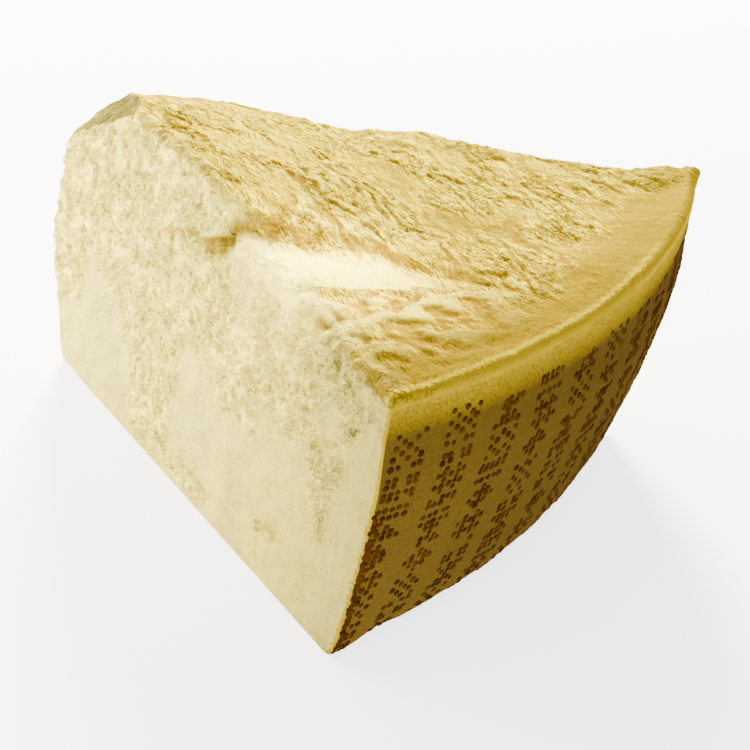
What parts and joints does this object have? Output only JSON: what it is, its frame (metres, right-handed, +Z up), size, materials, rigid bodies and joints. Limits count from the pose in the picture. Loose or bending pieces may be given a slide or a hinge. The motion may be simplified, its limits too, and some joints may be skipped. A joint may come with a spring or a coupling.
{
  "type": "parmesan chunk",
  "caption": "Rough-broken wedge of hard aged cheese with a curved rind, a flat base and a split top.",
  "frame": {"origin": "middle of the base's box, on the surface that the wedge rests on", "axes": "+Z up; -Y towards the rind; +Y towards the broken tip; -X towards the pale left split"},
  "size_m": [0.1876, 0.2064, 0.1132],
  "materials": {
    "cheese": "matt, waxy, slightly translucent"
  },
  "bodies": {
    "root": {"parmesan_chunk": "cheese"}
  },
  "joints": []
}
